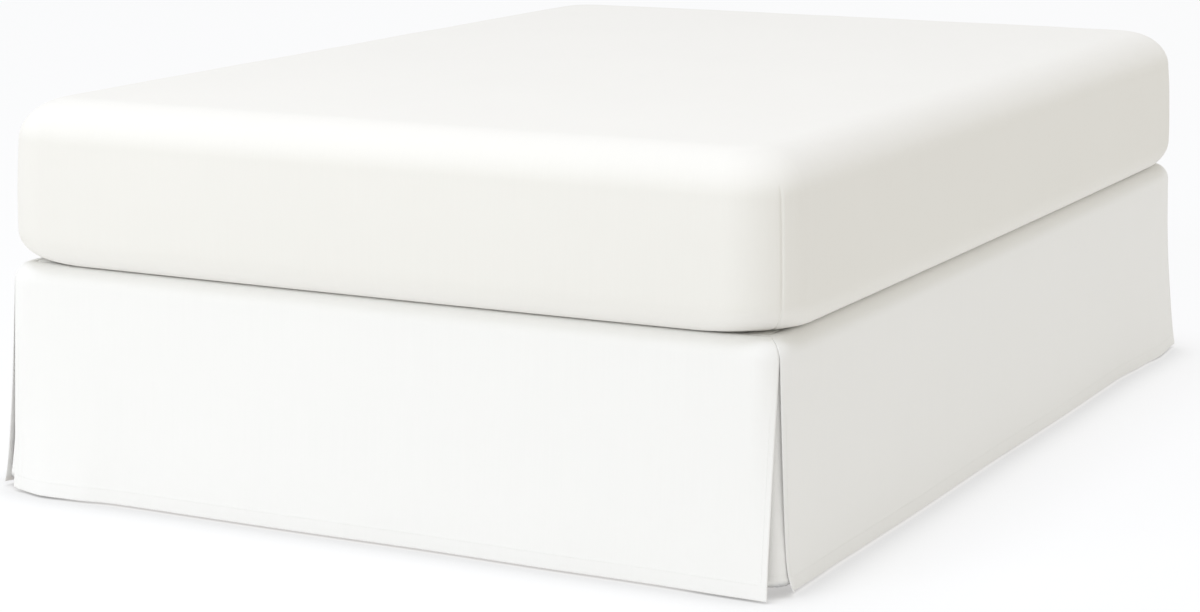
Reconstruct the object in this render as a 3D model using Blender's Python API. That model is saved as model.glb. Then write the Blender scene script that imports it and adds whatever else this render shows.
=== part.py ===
"""Box spring cover: a tailored bed skirt with split corners, on a box spring and mattress.

The cover is a flat deck between box spring and mattress, four drop panels that turn over
the box spring's rounded top edge and hang to just above the floor, and a pleat panel
behind each split corner. The bed that it is fitted on is built plainly: a platform on six
legs, the box spring and the mattress.

Units are metres, +Z is up, and the foot end faces -Y. The object stands on Z = 0, centred
on X and Y.
"""

import math

import bmesh
import bpy
from mathutils import Vector

# Bed base, hidden by the cover
LEG_SIZE = 0.06
LEG_HEIGHT = 0.122
LEG_CORNER = 0.006
LEG_ACROSS = 0.60
LEG_ALONG = 0.88
PLATFORM_MARGIN = 0.027
PLATFORM_THICKNESS = 0.0297
PLATFORM_CORNER = 0.03
PLATFORM_EDGE = 0.004

# Box spring
BOX_WIDTH = 1.388
BOX_LENGTH = 1.980
BOX_TOP = 0.381
BOX_CORNER = 0.040
BOX_TOP_ROLL = 0.036
BOX_LOWER_ROLL = 0.010

# Mattress
MATTRESS_WIDTH = 1.418
MATTRESS_LENGTH = 2.010
MATTRESS_CORNER = 0.10
MATTRESS_HEIGHT = 0.2705
MATTRESS_FOOT_INSET = 0.050
MATTRESS_FOOT_HEIGHT = 0.001
MATTRESS_LOWER_ROLL_IN = 0.036
MATTRESS_LOWER_ROLL_UP = 0.050
MATTRESS_LOWER_DRAW = 2.2
MATTRESS_SHOULDER_IN = 0.086
MATTRESS_SHOULDER_UP = 0.070
MATTRESS_SHOULDER_DRAW = 0.25
MATTRESS_TAPER = 0.006
MATTRESS_TAPER_STEPS = (0.3, 0.6)
MATTRESS_CROWN = 0.005
MATTRESS_CROWN_INSETS = (0.13, 0.24, 0.42)
MATTRESS_BARREL = 0.003
TIGHTEST_CORNER = 0.006

# Cloth of the cover. SEAM_TURN is how far round the corner each panel's left (-1) and right
# (1) end reaches, in degrees; EDGE_DRAW is how far that end's free edge is drawn in
CLOTH = 0.0015
SEAM_GAP = 0.0003
DROP_STANDOFF = 0.0045
DROP_ROLL = 0.030
SEAM_INSET = 0.038
HEM_HEIGHT = 0.0035
HEM_LIFT_START = 0.8
LEAN_EVEN_SHARE = 0.3
SPLIT_TOP = 0.368
SPLIT_EASE = 1.9
LEAST_CLOSURE = 0.02
SEAM_TURN = {-1: 38.0, 1: 52.0}
EDGE_DRAW = {-1: 0.0, 1: 0.006}
CURL_SHARPNESS = 18

# Pleat panels behind the corners
INSERT_STANDOFF = 0.0022
INSERT_ROLL = 0.034
INSERT_ROLL_END = 55.0
INSERT_REACH = 0.09
INSERT_HEM_HEIGHT = 0.0185
INSERT_FLARE = 0.0085
INSERT_CORNER_FLARE = 0.013
INSERT_STEPS = 6

# Mesh steps
CORNER_STEPS = 8
ROLL_STEPS = 7
PANEL_STEPS = 20
PANEL_END_STEPS = 6
DROP_ROWS = (0.11, 0.22, 0.33, 0.45, 0.57, 0.69, 0.80, 0.89, 0.955, 1.0)

# How far each drop leans outwards at its hem. Columns: place along the panel as a share of
# its half length, from its left end (-1) to its right end (1) as seen from outside; lean
HEM_LEAN = {
    "front": [(-1.0, 0.014), (-0.96, 0.021), (-0.87, 0.034), (-0.79, 0.031), (-0.68, 0.022),
              (0.0, 0.021), (0.60, 0.024), (0.93, 0.029), (1.0, 0.030)],
    "right": [(-1.0, 0.009), (-0.95, 0.010), (0.0, 0.010), (0.62, 0.009), (0.79, 0.016),
              (0.87, 0.022), (1.0, 0.016)],
    "back": [(-1.0, 0.018), (-0.92, 0.022), (-0.72, 0.012), (0.0, 0.011), (0.66, 0.012),
             (0.88, 0.020), (1.0, 0.015)],
    "left": [(-1.0, 0.016), (-0.90, 0.021), (-0.76, 0.012), (0.0, 0.010), (0.80, 0.011),
             (0.93, 0.014), (1.0, 0.017)],
}

# How far the lower corners of each drop curl outwards. Columns: left end, right end
HEM_CURL = {"front": (0.002, 0.0), "right": (0.0115, 0.002), "back": (0.003, 0.002), "left": (0.004, 0.003)}

# How far those corners are lifted off the level of the hem. Columns: left end, right end
HEM_LIFT = {"front": (0.003, 0.0), "right": (0.006, 0.003), "back": (0.003, 0.002), "left": (0.004, 0.003)}

# Colours as linear RGB
COVER_WHITE = (0.83, 0.83, 0.81, 1.0)
MATTRESS_WHITE = (0.80, 0.79, 0.74, 1.0)
TICKING_GREY = (0.62, 0.61, 0.58, 1.0)
BEECH = (0.55, 0.38, 0.22, 1.0)

PLATFORM_TOP = LEG_HEIGHT + SEAM_GAP + PLATFORM_THICKNESS
BOX_BOTTOM = PLATFORM_TOP + SEAM_GAP
DECK_BOTTOM = BOX_TOP + SEAM_GAP
MATTRESS_BOTTOM = DECK_BOTTOM + CLOTH + SEAM_GAP
CLOTH_STANDOFF = DROP_STANDOFF + CLOTH / 2
COVER_HALF_WIDTH = BOX_WIDTH / 2 + CLOTH_STANDOFF
COVER_HALF_LENGTH = BOX_LENGTH / 2 + CLOTH_STANDOFF
COVER_CORNER = BOX_CORNER + CLOTH_STANDOFF

# Each side of the bed. Columns: half length along the side, distance out to the cloth,
# direction along the side to the right as seen from outside, direction inwards
SIDES = {
    "front": (COVER_HALF_WIDTH, COVER_HALF_LENGTH, Vector((1, 0, 0)), Vector((0, 1, 0))),
    "right": (COVER_HALF_LENGTH, COVER_HALF_WIDTH, Vector((0, 1, 0)), Vector((-1, 0, 0))),
    "back": (COVER_HALF_WIDTH, COVER_HALF_LENGTH, Vector((-1, 0, 0)), Vector((0, -1, 0))),
    "left": (COVER_HALF_LENGTH, COVER_HALF_WIDTH, Vector((0, -1, 0)), Vector((1, 0, 0))),
}


def clear_scene():
    """Remove every object, so that the file starts empty."""
    for item in list(bpy.data.objects):
        bpy.data.objects.remove(item, do_unlink=True)


def make_material(name, colour, roughness):
    """Return a plain Principled material."""
    material = bpy.data.materials.new(name)
    material.use_nodes = True
    shader = material.node_tree.nodes["Principled BSDF"]
    shader.inputs["Base Color"].default_value = colour
    shader.inputs["Roughness"].default_value = roughness
    shader.inputs["Metallic"].default_value = 0.0
    material.diffuse_color = colour
    return material


def add_object(name, mesh_data, material, sharp_angle=40.0):
    """Turn a bmesh into a named, smoothly shaded object with its material."""
    bmesh.ops.recalc_face_normals(mesh_data, faces=mesh_data.faces)
    mesh = bpy.data.meshes.new(name)
    mesh_data.to_mesh(mesh)
    mesh_data.free()
    mesh.shade_smooth()
    mesh.set_sharp_from_angle(angle=math.radians(sharp_angle))
    mesh.materials.append(material)
    item = bpy.data.objects.new(name, mesh)
    bpy.context.scene.collection.objects.link(item)
    return item


def smooth_table(rows, place):
    """Read a table of (place, value) rows at any place, easing between its rows."""
    if place <= rows[0][0]:
        return rows[0][1]
    for (start, low), (end, high) in zip(rows, rows[1:]):
        if place <= end:
            share = (place - start) / (end - start)
            return low + (high - low) * share * share * (3.0 - 2.0 * share)
    return rows[-1][1]


def rounded_ring(half_x, half_y, radius, side_steps=1, barrel=0.0):
    """Points round a rectangle with rounded corners, whose sides may bow outwards.

    It starts at the right end of the front side and goes round to the right.
    """
    flat_x = half_x - radius
    flat_y = half_y - radius
    points = []
    quarters = [(flat_x, -flat_y, -90, flat_y), (flat_x, flat_y, 0, flat_x),
                (-flat_x, flat_y, 90, flat_y), (-flat_x, -flat_y, 180, flat_x)]
    for centre_x, centre_y, start, half_side in quarters:
        for step in range(CORNER_STEPS + 1):
            angle = math.radians(start + 90.0 * step / CORNER_STEPS)
            points.append((centre_x + radius * math.cos(angle), centre_y + radius * math.sin(angle)))
        outward = Vector((math.cos(angle), math.sin(angle)))
        onward = Vector((-outward.y, outward.x))
        corner = Vector(points[-1])
        for step in range(1, side_steps):
            share = step / side_steps
            bow = barrel * 4.0 * share * (1.0 - share)
            spot = corner + onward * (2.0 * half_side * share) + outward * bow
            points.append((spot.x, spot.y))
    return points


def loft(rings):
    """Bridge rings of (x, y, z) points into one closed solid with flat end faces."""
    mesh_data = bmesh.new()
    loops = [[mesh_data.verts.new(point) for point in ring] for ring in rings]
    for lower, upper in zip(loops, loops[1:]):
        for index in range(len(lower)):
            onward = (index + 1) % len(lower)
            mesh_data.faces.new((lower[index], lower[onward], upper[onward], upper[index]))
    mesh_data.faces.new(list(reversed(loops[0])))
    mesh_data.faces.new(loops[-1])
    return mesh_data


def block_with_rolled_edges(width, length, corner, profile, side_steps=1, barrel=0.0):
    """Loft a rounded block through a profile of (inset, height) rows.

    A third value in a row adds to the plan corner's radius there.
    """
    rings = []
    for inset, height, *draw in profile:
        radius = max(corner - inset, TIGHTEST_CORNER) + sum(draw)
        ring = rounded_ring(width / 2 - inset, length / 2 - inset, radius, side_steps, barrel)
        rings.append([(x, y, height) for x, y in ring])
    return loft(rings)


def quarter_roll(radius_in, radius_up, steps, end=90.0):
    """Inset and rise of a quarter turn over an edge, from its side to its top."""
    angles = [math.radians(end * step / steps) for step in range(steps + 1)]
    return [(radius_in * (1.0 - math.cos(angle)), radius_up * math.sin(angle)) for angle in angles]


def build_base(material):
    """The platform and its six legs, which carry the box spring."""
    platform_x = BOX_WIDTH - 2 * PLATFORM_MARGIN
    platform_y = BOX_LENGTH - 2 * PLATFORM_MARGIN
    bottom = PLATFORM_TOP - PLATFORM_THICKNESS
    profile = [(PLATFORM_EDGE, bottom), (0.0, bottom + PLATFORM_EDGE),
               (0.0, PLATFORM_TOP - PLATFORM_EDGE), (PLATFORM_EDGE, PLATFORM_TOP)]
    add_object("bed_platform", block_with_rolled_edges(platform_x, platform_y, PLATFORM_CORNER, profile),
               material)
    for across, across_name in ((-LEG_ACROSS, "left"), (LEG_ACROSS, "right")):
        for along, along_name in ((-LEG_ALONG, "front"), (0.0, "middle"), (LEG_ALONG, "back")):
            mesh_data = bmesh.new()
            bmesh.ops.create_cube(mesh_data, size=1.0)
            bmesh.ops.scale(mesh_data, vec=(LEG_SIZE, LEG_SIZE, LEG_HEIGHT), verts=mesh_data.verts)
            upright = [edge for edge in mesh_data.edges
                       if abs(edge.verts[0].co.z - edge.verts[1].co.z) > LEG_HEIGHT / 2]
            bmesh.ops.bevel(mesh_data, geom=upright, offset=LEG_CORNER, segments=2, affect="EDGES")
            leg = add_object(f"bed_leg_{along_name}_{across_name}", mesh_data, material)
            leg.location = (across, along, LEG_HEIGHT / 2)


def build_box_spring(material):
    """The box spring: a block with a rolled top edge and rounded plan corners."""
    profile = [(inset, BOX_BOTTOM + BOX_LOWER_ROLL - rise)
               for inset, rise in reversed(quarter_roll(BOX_LOWER_ROLL, BOX_LOWER_ROLL, 3))]
    profile += [(inset, BOX_TOP - BOX_TOP_ROLL + rise)
                for inset, rise in quarter_roll(BOX_TOP_ROLL, BOX_TOP_ROLL, ROLL_STEPS)]
    add_object("box_spring", block_with_rolled_edges(BOX_WIDTH, BOX_LENGTH, BOX_CORNER, profile), material)


def build_mattress(material):
    """The mattress: a recessed foot, rolled lower edge, soft shoulder and slight crown."""
    top = MATTRESS_BOTTOM + MATTRESS_HEIGHT
    roll_bottom = MATTRESS_BOTTOM + MATTRESS_FOOT_HEIGHT
    roll_top = roll_bottom + MATTRESS_LOWER_ROLL_UP
    foot_draw = MATTRESS_LOWER_DRAW * MATTRESS_LOWER_ROLL_IN
    profile = [(MATTRESS_FOOT_INSET, height, foot_draw) for height in (MATTRESS_BOTTOM, roll_bottom)]
    profile += [(inset, roll_top - rise, MATTRESS_LOWER_DRAW * inset)
                for inset, rise in reversed(quarter_roll(MATTRESS_LOWER_ROLL_IN, MATTRESS_LOWER_ROLL_UP, 5))]
    shoulder_start = top - MATTRESS_SHOULDER_UP
    for share in MATTRESS_TAPER_STEPS:
        height = roll_top + (shoulder_start - roll_top) * share
        profile.append((MATTRESS_TAPER * share * share, height))
    profile += [(MATTRESS_TAPER + inset, shoulder_start + rise, MATTRESS_SHOULDER_DRAW * inset)
                for inset, rise in quarter_roll(MATTRESS_SHOULDER_IN, MATTRESS_SHOULDER_UP, 8)]
    edge = MATTRESS_TAPER + MATTRESS_SHOULDER_IN
    for inset in MATTRESS_CROWN_INSETS:
        share = (inset - edge) / (MATTRESS_WIDTH / 2 - edge)
        profile.append((inset, top + MATTRESS_CROWN * math.sin(share * math.pi / 2),
                        MATTRESS_SHOULDER_DRAW * MATTRESS_SHOULDER_IN))
    solid = block_with_rolled_edges(MATTRESS_WIDTH, MATTRESS_LENGTH, MATTRESS_CORNER, profile,
                                    side_steps=6, barrel=MATTRESS_BARREL)
    add_object("mattress", solid, material)


def sheet_from_grid(grid, thickness):
    """Give a grid of mid-surface points a cloth's thickness, as one closed solid."""
    rows = len(grid)
    columns = len(grid[0])
    mesh_data = bmesh.new()
    faces_of = {1: [], -1: []}
    for side, layer in faces_of.items():
        for row in range(rows):
            line = []
            for column in range(columns):
                across = grid[row][min(column + 1, columns - 1)] - grid[row][max(column - 1, 0)]
                down = grid[min(row + 1, rows - 1)][column] - grid[max(row - 1, 0)][column]
                normal = across.cross(down).normalized()
                line.append(mesh_data.verts.new(grid[row][column] + normal * (side * thickness / 2)))
            layer.append(line)
    outer = faces_of[1]
    inner = faces_of[-1]
    for row in range(rows - 1):
        for column in range(columns - 1):
            for layer in (outer, inner):
                mesh_data.faces.new((layer[row][column], layer[row + 1][column],
                                     layer[row + 1][column + 1], layer[row][column + 1]))
    rim = [(0, column) for column in range(columns)]
    rim += [(row, columns - 1) for row in range(1, rows)]
    rim += [(rows - 1, column) for column in range(columns - 2, -1, -1)]
    rim += [(row, 0) for row in range(rows - 2, 0, -1)]
    for (row_a, column_a), (row_b, column_b) in zip(rim, rim[1:] + rim[:1]):
        mesh_data.faces.new((outer[row_a][column_a], outer[row_b][column_b],
                             inner[row_b][column_b], inner[row_a][column_a]))
    return mesh_data


def split_closure(height):
    """How far the corner is closed: 1 above the split, easing to 0 where it hangs open."""
    return min(height / SPLIT_TOP, 1.0) ** SPLIT_EASE


def lean_share(hang):
    """Share of the hem's lean that the cloth has reached part of the way down."""
    return LEAN_EVEN_SHARE * hang + (1.0 - LEAN_EVEN_SHARE) * hang ** 3


def drop_point(side, place, inset, height, hang):
    """A point of a drop panel's mid-surface.

    place runs from -2 to 2: within -1 to 1 it is the straight part, and beyond that it is
    the end that turns the corner. hang is 0 down to the box spring's side and 1 at the hem.
    """
    half, out, along, inward = SIDES[side]
    flat = half - COVER_CORNER
    hand = 1 if place >= 0 else -1
    end = 1 if place >= 0 else 0
    turn = max(abs(place) - 1.0, 0.0)
    share = (flat * min(abs(place), 1.0) + COVER_CORNER * turn) / half
    lean = smooth_table(HEM_LEAN[side], hand * share) * lean_share(hang)
    if turn == 0.0:
        travel = flat * place
        depth = inset - lean
    else:
        lean += HEM_CURL[side][end] * turn ** 2 * hang ** CURL_SHARPNESS
        closure = max(split_closure(height), LEAST_CLOSURE)
        radius = (COVER_CORNER - inset) / closure
        angle = math.radians(SEAM_TURN[hand]) * closure * turn - SEAM_GAP / 2 / radius * turn
        draw = EDGE_DRAW[hand] * turn * math.sin(math.pi * hang)
        travel = hand * (flat + (radius + lean) * math.sin(angle) - draw)
        depth = inset + radius - (radius + lean) * math.cos(angle)
    lifted = max(abs(place) - HEM_LIFT_START, 0.0) / (2.0 - HEM_LIFT_START)
    lift = HEM_LIFT[side][end] * lifted * hang ** 2
    spot = along * travel - inward * (out - depth)
    return Vector((spot.x, spot.y, height + lift))


def panel_places():
    """Places along a panel: the straight part, closer together near its ends, and the ends."""
    middle = [math.sin(math.pi / 2 * (2.0 * step / PANEL_STEPS - 1.0)) for step in range(PANEL_STEPS + 1)]
    turn = [step / PANEL_END_STEPS for step in range(1, PANEL_END_STEPS + 1)]
    return [-1.0 - share for share in reversed(turn)] + middle + [1.0 + share for share in turn]


def build_drops(material):
    """The four drop panels, from the deck seam over the rolled edge to the hem."""
    top = DECK_BOTTOM + CLOTH / 2
    roll_start = top - DROP_ROLL
    rows = [(SEAM_INSET, top, 0.0)]
    rows += [(inset, roll_start + rise, 0.0)
             for inset, rise in reversed(quarter_roll(DROP_ROLL, DROP_ROLL, ROLL_STEPS))]
    rows += [(0.0, roll_start + (HEM_HEIGHT - roll_start) * hang, hang) for hang in DROP_ROWS]
    places = panel_places()
    for side in SIDES:
        grid = [[drop_point(side, place, inset, height, hang) for place in places]
                for inset, height, hang in rows]
        add_object(f"drop_{side}", sheet_from_grid(grid, CLOTH), material)


def build_deck(material):
    """The platform cloth, which ends at the drops' seams."""
    inset = SEAM_INSET + SEAM_GAP
    ring = rounded_ring(COVER_HALF_WIDTH - inset, COVER_HALF_LENGTH - inset, COVER_CORNER - inset)
    rings = [[(x, y, height) for x, y in ring] for height in (DECK_BOTTOM, DECK_BOTTOM + CLOTH)]
    add_object("deck", loft(rings), material)


def build_inserts(material):
    """The pleat panel behind each split corner, wrapped round the box spring's corner."""
    radius = BOX_CORNER + INSERT_STANDOFF + CLOTH / 2
    centre_x = BOX_WIDTH / 2 - BOX_CORNER
    centre_y = BOX_LENGTH / 2 - BOX_CORNER
    roll_start = DECK_BOTTOM + CLOTH / 2 - INSERT_ROLL
    rows = [(inset, roll_start + rise, 0.0)
            for inset, rise in reversed(quarter_roll(INSERT_ROLL, INSERT_ROLL, 4, end=INSERT_ROLL_END))]
    for step in range(1, INSERT_STEPS + 1):
        hang = step / INSERT_STEPS
        rows.append((0.0, roll_start + (INSERT_HEM_HEIGHT - roll_start) * hang, hang))
    corners = [("front_right", 1, -1), ("back_right", 1, 1), ("back_left", -1, 1), ("front_left", -1, -1)]
    for name, sign_x, sign_y in corners:
        grid = []
        for inset, height, hang in rows:
            reach = radius - inset + INSERT_FLARE * lean_share(hang)
            line = [Vector((-INSERT_REACH, reach, height)), Vector((-INSERT_REACH / 2, reach, height))]
            for step in range(CORNER_STEPS + 1):
                angle = math.radians(90.0 * step / CORNER_STEPS)
                out = reach + INSERT_CORNER_FLARE * lean_share(hang) * math.sin(2.0 * angle) ** 2
                line.append(Vector((out * math.sin(angle), out * math.cos(angle), height)))
            line += [Vector((reach, -INSERT_REACH / 2, height)), Vector((reach, -INSERT_REACH, height))]
            grid.append([Vector((sign_x * (centre_x + spot.x), sign_y * (centre_y + spot.y), spot.z))
                         for spot in line])
        add_object(f"insert_{name}", sheet_from_grid(grid, CLOTH), material)


def main():
    """Build every piece of the bed and its cover."""
    clear_scene()
    build_base(make_material("beech", BEECH, 0.5))
    build_box_spring(make_material("ticking", TICKING_GREY, 0.9))
    build_mattress(make_material("mattress_cloth", MATTRESS_WHITE, 0.85))
    cover = make_material("cover_cloth", COVER_WHITE, 0.85)
    build_deck(cover)
    build_drops(cover)
    build_inserts(cover)


main()
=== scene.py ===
"""Dressed view of a white tailored bed skirt on its box spring, under a mattress.

Sizes are in metres, +Z is up and the foot end faces -Y. The cloth pieces lie on the folds of
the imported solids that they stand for, with finer meshes, hems, seams and stitches.
"""
import logging
import math
from collections.abc import Sequence
from dataclasses import dataclass
from enum import Enum

import bmesh
import bpy
import numpy as np
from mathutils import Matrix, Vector, noise

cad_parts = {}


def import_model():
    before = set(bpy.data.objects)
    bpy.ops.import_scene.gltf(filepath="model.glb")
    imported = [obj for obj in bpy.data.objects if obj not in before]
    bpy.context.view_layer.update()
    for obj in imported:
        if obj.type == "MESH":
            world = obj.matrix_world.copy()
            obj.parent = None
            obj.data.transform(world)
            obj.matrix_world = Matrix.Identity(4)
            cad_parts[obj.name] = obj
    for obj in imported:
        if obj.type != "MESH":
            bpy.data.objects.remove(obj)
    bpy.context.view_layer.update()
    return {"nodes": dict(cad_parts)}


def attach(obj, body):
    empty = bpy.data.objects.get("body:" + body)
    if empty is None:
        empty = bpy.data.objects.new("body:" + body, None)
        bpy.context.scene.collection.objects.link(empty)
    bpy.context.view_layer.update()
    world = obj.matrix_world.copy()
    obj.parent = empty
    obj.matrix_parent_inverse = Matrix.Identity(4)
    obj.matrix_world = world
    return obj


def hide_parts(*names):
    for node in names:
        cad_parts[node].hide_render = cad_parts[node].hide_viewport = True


LOG = logging.getLogger("bed_skirt")
CLOTH_LAY = "cloth_lay"

Row = tuple[float, ...]
Colour = tuple[float, float, float, float]


class Side(Enum):
    """The four sides of the bed: position of its name, outward and rightward directions."""

    FRONT = ("front", (0, -1), (1, 0))
    RIGHT = ("right", (1, 0), (0, 1))
    BACK = ("back", (0, 1), (-1, 0))
    LEFT = ("left", (-1, 0), (0, -1))

    @property
    def label(self) -> str:
        """The side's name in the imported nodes."""
        return self.value[0]

    @property
    def outward(self) -> Vector:
        """Direction out of the bed."""
        return Vector((*self.value[1], 0))

    @property
    def along(self) -> Vector:
        """Direction to the right, as seen from outside."""
        return Vector((*self.value[2], 0))

    @property
    def crosswise(self) -> bool:
        """True for the two short ends."""
        return self.value[1][0] == 0


class Corner(Enum):
    """The four corners: name, and the signs of X and Y there."""

    FRONT_RIGHT = ("front_right", 1, -1)
    BACK_RIGHT = ("back_right", 1, 1)
    BACK_LEFT = ("back_left", -1, 1)
    FRONT_LEFT = ("front_left", -1, -1)


def ramp(low: float, high: float, value: float) -> float:
    """Ease from 0 where the value is at low to 1 where it is at high."""
    share = min(max((value - low) / (high - low), 0.0), 1.0)
    return share * share * (3.0 - 2.0 * share)


def eased(rows: Sequence[Row], place: float) -> float:
    """Read a table of (place, value) rows, easing between them.

    Args:
        rows: Rows in rising order of place.
        place: Where to read.

    Returns:
        The value there.
    """
    if place <= rows[0][0]:
        return rows[0][1]
    for (start, low), (end, high) in zip(rows, rows[1:]):
        if place <= end:
            return low + (high - low) * ramp(start, end, place)
    return rows[-1][1]


def quarter_roll(inward: float, upward: float, steps: int, end: float = 90.0) -> list[Row]:
    """Inset and rise of a quarter turn over an edge, from its side to its top.

    Args:
        inward: How far the roll reaches in.
        upward: How far it rises.
        steps: Number of steps.
        end: Angle at which it stops, in degrees.

    Returns:
        Rows of (inset, rise).
    """
    angles = [math.radians(end * step / steps) for step in range(steps + 1)]
    return [(inward * (1.0 - math.cos(a)), upward * math.sin(a)) for a in angles]


def with_travel(rows: Sequence[Row]) -> list[Row]:
    """Add to each row how far it lies down the cloth.

    Args:
        rows: Rows that start with inset and height.

    Returns:
        The rows, each with its distance from the first.
    """
    measured, travel, last = [], 0.0, rows[0]
    for row in rows:
        travel += math.hypot(row[0] - last[0], row[1] - last[1])
        measured.append((*row, travel))
        last = row
    return measured


def soft_noise(spot: Vector, size: float) -> float:
    """Smooth noise from about -1 to 1 whose lumps are that size across."""
    return noise.noise(spot / size)


def place_object(name: str, mesh: bpy.types.Mesh, finish: bpy.types.Material) -> bpy.types.Object:
    """Link a finished mesh as a piece of the bed.

    Args:
        name: The piece's name.
        mesh: Its mesh, in the row frame.
        finish: Its material.

    Returns:
        The linked object, riding on the one body.
    """
    mesh.materials.clear()
    mesh.materials.append(finish)
    mesh.shade_smooth()
    item = bpy.data.objects.new(name, mesh)
    bpy.context.scene.collection.objects.link(item)
    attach(item, "root")
    return item


@dataclass
class ClothGrid:
    """A grid of mid-surface points that becomes one thin closed sheet.

    Rows run down the cloth and columns to the right, as seen from its outer side.
    """

    points: list[list[Vector]]
    flat: list[list[tuple[float, float]]]
    thickness: list[list[float]]
    open_ends: list[float]

    def mesh(self, name: str) -> bpy.types.Mesh:
        """Give the grid its thickness and rounded rims.

        Args:
            name: Name for the mesh.

        Returns:
            The closed mesh, with its flat lay as a UV map in metres.
        """
        grid = np.array([[tuple(p) for p in row] for row in self.points])
        thick = np.array(self.thickness)[..., None]
        across, down = np.gradient(grid, axis=1), np.gradient(grid, axis=0)
        normal = np.cross(down, across)
        for direction in (normal, across, down):
            direction /= np.linalg.norm(direction, axis=2, keepdims=True)
        rounding = np.array(self.open_ends)
        pull = np.zeros_like(grid)
        pull[0] += down[0] * thick[0] / 2
        pull[-1] -= down[-1] * thick[-1] / 2
        pull[:, 0] += across[:, 0] * (thick[:, 0] / 2) * rounding[:, None]
        pull[:, -1] -= across[:, -1] * (thick[:, -1] / 2) * rounding[:, None]
        outer = grid + pull + normal * thick / 2
        inner = grid + pull - normal * thick / 2
        count_rows, count_columns = grid.shape[:2]
        rim = [(row, 0) for row in range(count_rows)]
        rim += [(count_rows - 1, column) for column in range(1, count_columns)]
        rim += [(row, count_columns - 1) for row in range(count_rows - 2, -1, -1)]
        rim += [(0, column) for column in range(count_columns - 2, 0, -1)]
        middle = np.array([grid[spot] for spot in rim])
        size = count_rows * count_columns
        spots = np.concatenate([outer.reshape(-1, 3), inner.reshape(-1, 3), middle])
        faces = []
        for row in range(count_rows - 1):
            for column in range(count_columns - 1):
                a = row * count_columns + column
                b = a + count_columns
                faces.append((a, b, b + 1, a + 1))
                faces.append((size + a, size + a + 1, size + b + 1, size + b))
        for step, (row, column) in enumerate(rim):
            onward = (step + 1) % len(rim)
            a = row * count_columns + column
            b = rim[onward][0] * count_columns + rim[onward][1]
            mid_a, mid_b = 2 * size + step, 2 * size + onward
            faces.append((b, a, mid_a, mid_b))
            faces.append((mid_b, mid_a, size + a, size + b))
        mesh = bpy.data.meshes.new(name)
        mesh.from_pydata(spots.tolist(), [], faces)
        lay = np.array(self.flat).reshape(-1, 2)
        rim_lay = np.array([self.flat[row][column] for row, column in rim])
        vertex_lay = np.concatenate([lay, lay, rim_lay])
        corners = np.empty(len(mesh.loops), dtype=np.int32)
        mesh.loops.foreach_get("vertex_index", corners)
        layer = mesh.uv_layers.new(name=CLOTH_LAY)
        layer.data.foreach_set("uv", vertex_lay[corners].astype(np.float32).ravel())
        mesh.update()
        return mesh

    def sew(self, name: str, node: str, cloth: bpy.types.Material, cut: tuple[float, float],
            held: str) -> bpy.types.Object:
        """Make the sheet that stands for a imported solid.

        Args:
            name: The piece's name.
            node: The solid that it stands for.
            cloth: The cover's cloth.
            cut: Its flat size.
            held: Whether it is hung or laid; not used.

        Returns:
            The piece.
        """
        piece = place_object(name, self.mesh(name), cloth)
        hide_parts(node)
        LOG.info("%s: %d faces, cut %.3f x %.3f m", name, len(piece.data.polygons), *cut)
        return piece


class NodeBench:
    """A short way to add and join nodes in a tree."""

    def __init__(self, tree: bpy.types.NodeTree) -> None:
        """Work on that tree."""
        self.tree = tree

    def add(self, kind: str, feeds: dict[int | str, object] | None = None, **settings: object) -> bpy.types.Node:
        """Add a node.

        Args:
            kind: The node's type.
            feeds: Values or sockets for its inputs, by number or name.
            settings: Properties of the node itself.

        Returns:
            The new node.
        """
        node = self.tree.nodes.new(kind)
        for key, value in settings.items():
            setattr(node, key, value)
        for key, value in (feeds or {}).items():
            self.feed(node.inputs[key], value)
        return node

    def feed(self, socket: bpy.types.NodeSocket, value: object) -> None:
        """Set a socket's value, or join another socket to it.

        Args:
            socket: The input.
            value: A value, or the socket to join.
        """
        if isinstance(value, bpy.types.NodeSocket):
            self.tree.links.new(value, socket)
        else:
            socket.default_value = value

    def math(self, operation: str, *values: object) -> bpy.types.NodeSocket:
        """Join a Math node and return its result."""
        return self.add("ShaderNodeMath", dict(enumerate(values)), operation=operation).outputs[0]

    def tint(self, shader: bpy.types.Node, base: Colour, tone: bpy.types.NodeSocket) -> None:
        """Multiply the base colour by a tone and feed it to the shader."""
        mix = self.add("ShaderNodeMix", {0: 1.0, 6: base, 7: tone}, data_type="RGBA", blend_type="MULTIPLY")
        self.feed(shader.inputs["Base Color"], mix.outputs[2])

    def relief(self, shader: bpy.types.Node, height: bpy.types.NodeSocket, distance: float, strength: float) -> None:
        """Feed a height to the shader's normal, as a bump."""
        bump = self.add("ShaderNodeBump", {"Strength": strength, "Distance": distance, "Height": height})
        self.feed(shader.inputs["Normal"], bump.outputs[0])


def new_group(name: str, inputs: dict[str, float | Row], outputs: Sequence[str]) -> bpy.types.NodeTree:
    """Start a shader node group with named sockets.

    Args:
        name: The group's name.
        inputs: Defaults by name: a number, or the three of a vector.
        outputs: Names of its float outputs.

    Returns:
        The empty group.
    """
    tree = bpy.data.node_groups.new(name, "ShaderNodeTree")
    for label, value in inputs.items():
        kind = "NodeSocketFloat" if isinstance(value, float) else "NodeSocketVector"
        tree.interface.new_socket(label, in_out="INPUT", socket_type=kind).default_value = value
    for label in outputs:
        tree.interface.new_socket(label, in_out="OUTPUT", socket_type="NodeSocketFloat")
    return tree


class ThreadPattern(Enum):
    """How a cloth's threads run."""

    PLAIN_WEAVE = "plain weave"
    JERSEY_KNIT = "jersey knit"


# Share of its height that a thread loses between crossings or loops, and how far a loop slants
WEAVE_DIP = 0.4
KNIT_DIP = 0.2
KNIT_SLANT = 0.35


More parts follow.
